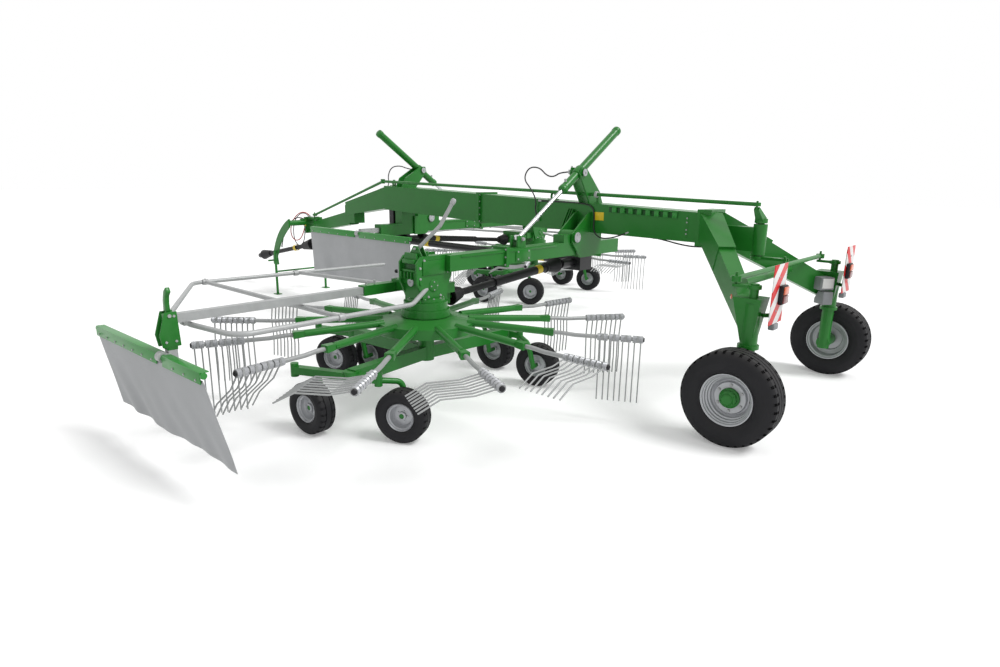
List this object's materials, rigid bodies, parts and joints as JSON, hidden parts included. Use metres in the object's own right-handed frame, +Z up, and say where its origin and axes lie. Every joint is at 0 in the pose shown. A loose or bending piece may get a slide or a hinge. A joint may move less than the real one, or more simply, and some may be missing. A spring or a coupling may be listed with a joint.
{
  "type": "twin rotor hay rake",
  "caption": "Trailed centre-delivery hay rake: beam on a steered axle, tined rotors on folding booms with small wheels, guard hoops, cloth curtains, headstock and drive shaft.",
  "frame": {"origin": "on the ground under the middle of the machine's length and width, tines in working position", "axes": "+X forward to the tractor, +Y to the machine's left, +Z up"},
  "size_m": [9.8182, 9.0399, 2.5506],
  "materials": {
    "green_paint": "satin",
    "galvanised": "satin",
    "silver_rim": "satin",
    "chrome_rod": "polished",
    "spring_steel": "satin",
    "black_paint": "satin",
    "black_plastic": "matte",
    "tyre_rubber": "matte",
    "curtain_cloth": "matte",
    "board_red_white": "gloss"
  },
  "bodies": {
    "chassis": {"main_beam_rear": "green_paint", "main_beam_front": "green_paint", "rear_axle_frame": "green_paint", "boom_brackets": "green_paint", "drive_line": "black_plastic", "drawbar": "green_paint", "warning_boards": "board_red_white"},
    "headstock": {"headstock": "green_paint", "pto_shaft": "black_plastic", "drive_yoke": "black_plastic"},
    "parking_stand": {"parking_stand": "galvanised"},
    "tie_rod": {"tie_rod": "green_paint"},
    "steering_lever": {"steering_lever": "green_paint"},
    "steering_rod": {"steering_rod": "green_paint"},
    "knuckle_left": {"knuckle_left": "green_paint"},
    "road_wheel_left": {"tyre_left": "tyre_rubber", "rim_left": "silver_rim"},
    "knuckle_right": {"knuckle_right": "green_paint"},
    "road_wheel_right": {"tyre_right": "tyre_rubber", "rim_right": "silver_rim"},
    "boom_left": {"boom_left": "green_paint", "undercarriage_left": "green_paint", "guard_left": "galvanised"},
    "lift_barrel_left": {"lift_barrel_left": "green_paint"},
    "lift_rod_left": {"lift_rod_left": "chrome_rod"},
    "shaft_inner_left": {"shaft_inner_left": "black_plastic"},
    "shaft_outer_left": {"shaft_outer_left": "black_plastic"},
    "rotor_left": {"rotor_left": "green_paint", "tine_arms_left": "galvanised"},
    "wheel_left_a": {"wheel_left_a": "tyre_rubber"},
    "wheel_left_b": {"wheel_left_b": "tyre_rubber"},
    "wheel_left_c": {"wheel_left_c": "tyre_rubber"},
    "wheel_left_d": {"wheel_left_d": "tyre_rubber"},
    "wheel_left_e": {"wheel_left_e": "tyre_rubber"},
    "wheel_left_f": {"wheel_left_f": "tyre_rubber"},
    "boom_right": {"boom_right": "green_paint", "undercarriage_right": "green_paint", "guard_right": "galvanised"},
    "lift_barrel_right": {"lift_barrel_right": "green_paint"},
    "lift_rod_right": {"lift_rod_right": "chrome_rod"},
    "shaft_inner_right": {"shaft_inner_right": "black_plastic"},
    "shaft_outer_right": {"shaft_outer_right": "black_plastic"},
    "rotor_right": {"rotor_right": "green_paint", "tine_arms_right": "galvanised"},
    "wheel_right_a": {"wheel_right_a": "tyre_rubber"},
    "wheel_right_b": {"wheel_right_b": "tyre_rubber"},
    "wheel_right_c": {"wheel_right_c": "tyre_rubber"},
    "wheel_right_d": {"wheel_right_d": "tyre_rubber"},
    "wheel_right_e": {"wheel_right_e": "tyre_rubber"},
    "wheel_right_f": {"wheel_right_f": "tyre_rubber"},
    "curtain_arm_left": {"curtain_arm_left": "galvanised"},
    "curtain_left": {"curtain_left": "curtain_cloth"},
    "curtain_arm_right": {"curtain_arm_right": "galvanised"},
    "curtain_right": {"curtain_right": "curtain_cloth"}
  },
  "joints": [
    {"name": "headstock_turn", "type": "hinge", "parent": "chassis", "child": "headstock", "pos_m": [2.965, 0, 1.15], "axis": [0, 0, 1], "range_deg": [-40, 40]},
    {"name": "stand_fold", "type": "hinge", "parent": "headstock", "child": "parking_stand", "pos_m": [3.535, 0, 0.7], "axis": [0, 1, 0], "range_deg": [0, 90]},
    {"name": "steer_left", "type": "hinge", "parent": "chassis", "child": "knuckle_left", "pos_m": [-4.555, 1.1, 0.73], "axis": [0, 0, 1], "range_deg": [-25, 25]},
    {"name": "road_wheel_spin_left", "type": "hinge", "parent": "knuckle_left", "child": "road_wheel_left", "pos_m": [-4.555, 1.33, 0.38], "axis": [0, 1, 0], "continuous": true},
    {"name": "steer_right", "type": "hinge", "parent": "chassis", "child": "knuckle_right", "pos_m": [-4.555, -1.1, 0.73], "axis": [0, 0, 1], "range_deg": [-25, 25]},
    {"name": "road_wheel_spin_right", "type": "hinge", "parent": "knuckle_right", "child": "road_wheel_right", "pos_m": [-4.555, -1.33, 0.38], "axis": [0, 1, 0], "continuous": true},
    {"name": "tie_rod_turn", "type": "hinge", "parent": "knuckle_left", "child": "tie_rod", "pos_m": [-4.405, 1.1, 1.265], "axis": [0, 0, 1], "range_deg": [-25, 25]},
    {"name": "steering_lever_turn", "type": "hinge", "parent": "chassis", "child": "steering_lever", "pos_m": [-4.155, 0, 1.48], "axis": [0, 0, 1], "range_deg": [-15, 15]},
    {"name": "steering_rod_slide", "type": "slide", "parent": "chassis", "child": "steering_rod", "axis": [0.9999, 0, 0.0172], "range_m": [-0.038, 0.038]},
    {"name": "boom_lift_left", "type": "hinge", "parent": "chassis", "child": "boom_left", "pos_m": [-2.305, 0.4, 1.39], "axis": [1, 0, 0], "range_deg": [-3, 70]},
    {"name": "lift_barrel_turn_left", "type": "hinge", "parent": "chassis", "child": "lift_barrel_left", "pos_m": [-2.305, 0.28, 2.05], "axis": [1, 0, 0], "range_deg": [-3, 55]},
    {"name": "lift_rod_slide_left", "type": "slide", "parent": "lift_barrel_left", "child": "lift_rod_left", "axis": [0, 0.8386, -0.5447], "range_m": [-0.758, 0.05]},
    {"name": "shaft_inner_turn_left", "type": "hinge", "parent": "chassis", "child": "shaft_inner_left", "pos_m": [-2.155, 0.42, 1.08], "axis": [1, 0, 0], "range_deg": [-3, 66.3]},
    {"name": "shaft_outer_slide_left", "type": "slide", "parent": "shaft_inner_left", "child": "shaft_outer_left", "axis": [0, 0.9962, -0.0866], "range_m": [-0.02, 0.336]},
    {"name": "rotor_spin_left", "type": "hinge", "parent": "boom_left", "child": "rotor_left", "pos_m": [-2.205, 2.36, 0.74], "axis": [0, 0, 1], "continuous": true},
    {"name": "wheel_spin_left_a", "type": "hinge", "parent": "boom_left", "child": "wheel_left_a", "pos_m": [-2.045, 3.43, 0.21], "axis": [-0.0698, 0.9976, 0], "continuous": true},
    {"name": "wheel_spin_left_b", "type": "hinge", "parent": "boom_left", "child": "wheel_left_b", "pos_m": [-2.695, 3.05, 0.21], "axis": [-0.4384, 0.8988, 0], "continuous": true},
    {"name": "wheel_spin_left_c", "type": "hinge", "parent": "boom_left", "child": "wheel_left_c", "pos_m": [-0.965, 2.44, 0.21], "axis": [-0.3746, 0.9272, 0], "continuous": true},
    {"name": "wheel_spin_left_d", "type": "hinge", "parent": "boom_left", "child": "wheel_left_d", "pos_m": [-1.155, 2.12, 0.21], "axis": [-0.1392, 0.9903, 0], "continuous": true},
    {"name": "wheel_spin_left_e", "type": "hinge", "parent": "boom_left", "child": "wheel_left_e", "pos_m": [-1.885, 1.07, 0.21], "axis": [-0.1045, 0.9945, 0], "continuous": true},
    {"name": "wheel_spin_left_f", "type": "hinge", "parent": "boom_left", "child": "wheel_left_f", "pos_m": [-2.575, 1.22, 0.21], "axis": [-0.2756, 0.9613, 0], "continuous": true},
    {"name": "boom_lift_right", "type": "hinge", "parent": "chassis", "child": "boom_right", "pos_m": [0.795, -0.4, 1.39], "axis": [-1, 0, 0], "range_deg": [-3, 57]},
    {"name": "lift_barrel_turn_right", "type": "hinge", "parent": "chassis", "child": "lift_barrel_right", "pos_m": [0.795, -0.28, 2.05], "axis": [-1, 0, 0], "range_deg": [-3, 41]},
    {"name": "lift_rod_slide_right", "type": "slide", "parent": "lift_barrel_right", "child": "lift_rod_right", "axis": [0, -0.8386, -0.5447], "range_m": [-0.607, 0.05]},
    {"name": "shaft_inner_turn_right", "type": "hinge", "parent": "chassis", "child": "shaft_inner_right", "pos_m": [0.945, -0.42, 1.08], "axis": [-1, 0, 0], "range_deg": [-3, 55.3]},
    {"name": "shaft_outer_slide_right", "type": "slide", "parent": "shaft_inner_right", "child": "shaft_outer_right", "axis": [0, -0.9973, -0.0735], "range_m": [-0.02, 0.29]},
    {"name": "rotor_spin_right", "type": "hinge", "parent": "boom_right", "child": "rotor_right", "pos_m": [0.545, -2.65, 0.74], "axis": [0, 0, 1], "continuous": true},
    {"name": "wheel_spin_right_a", "type": "hinge", "parent": "boom_right", "child": "wheel_right_a", "pos_m": [0.705, -1.58, 0.21], "axis": [-0.0698, 0.9976, 0], "continuous": true},
    {"name": "wheel_spin_right_b", "type": "hinge", "parent": "boom_right", "child": "wheel_right_b", "pos_m": [0.055, -1.96, 0.21], "axis": [-0.4384, 0.8988, 0], "continuous": true},
    {"name": "wheel_spin_right_c", "type": "hinge", "parent": "boom_right", "child": "wheel_right_c", "pos_m": [1.785, -2.57, 0.21], "axis": [-0.3746, 0.9272, 0], "continuous": true},
    {"name": "wheel_spin_right_d", "type": "hinge", "parent": "boom_right", "child": "wheel_right_d", "pos_m": [1.595, -2.89, 0.21], "axis": [-0.1392, 0.9903, 0], "continuous": true},
    {"name": "wheel_spin_right_e", "type": "hinge", "parent": "boom_right", "child": "wheel_right_e", "pos_m": [0.865, -3.94, 0.21], "axis": [-0.1045, 0.9945, 0], "continuous": true},
    {"name": "wheel_spin_right_f", "type": "hinge", "parent": "boom_right", "child": "wheel_right_f", "pos_m": [0.175, -3.79, 0.21], "axis": [-0.2756, 0.9613, 0], "continuous": true},
    {"name": "curtain_slide_left", "type": "slide", "parent": "boom_left", "child": "curtain_arm_left", "axis": [0, 1, 0], "range_m": [0, 0.4]},
    {"name": "curtain_fold_left", "type": "hinge", "parent": "curtain_arm_left", "child": "curtain_left", "pos_m": [-1.915, 4.455, 0.8], "axis": [1, 0, 0], "range_deg": [0, 110]},
    {"name": "curtain_slide_right", "type": "slide", "parent": "chassis", "child": "curtain_arm_right", "axis": [0, 1, 0], "range_m": [-0.22, 0.35]},
    {"name": "curtain_fold_right", "type": "hinge", "parent": "curtain_arm_right", "child": "curtain_right", "pos_m": [0.795, 0.825, 1.225], "axis": [1, 0, 0], "range_deg": [0, 110]}
  ],
  "couplings": [
    {"joint": "steer_left", "follows": "headstock_turn", "ratio": -0.6},
    {"joint": "steer_right", "follows": "headstock_turn", "ratio": -0.6},
    {"joint": "tie_rod_turn", "follows": "headstock_turn", "ratio": 0.6},
    {"joint": "steering_lever_turn", "follows": "headstock_turn", "ratio": 0.336},
    {"joint": "steering_rod_slide", "follows": "headstock_turn", "m_per_rad": -0.0504},
    {"joint": "lift_barrel_turn_left", "follows": "boom_lift_left", "ratio": 0.7754},
    {"joint": "lift_rod_slide_left", "follows": "boom_lift_left", "m_per_rad": -0.6108},
    {"joint": "shaft_inner_turn_left", "follows": "boom_lift_left", "ratio": 0.9333},
    {"joint": "shaft_outer_slide_left", "follows": "boom_lift_left", "m_per_rad": 0.2668},
    {"joint": "lift_barrel_turn_right", "follows": "boom_lift_right", "ratio": 0.7031},
    {"joint": "lift_rod_slide_right", "follows": "boom_lift_right", "m_per_rad": -0.5977},
    {"joint": "shaft_inner_turn_right", "follows": "boom_lift_right", "ratio": 0.952},
    {"joint": "shaft_outer_slide_right", "follows": "boom_lift_right", "m_per_rad": 0.2815}
  ]
}
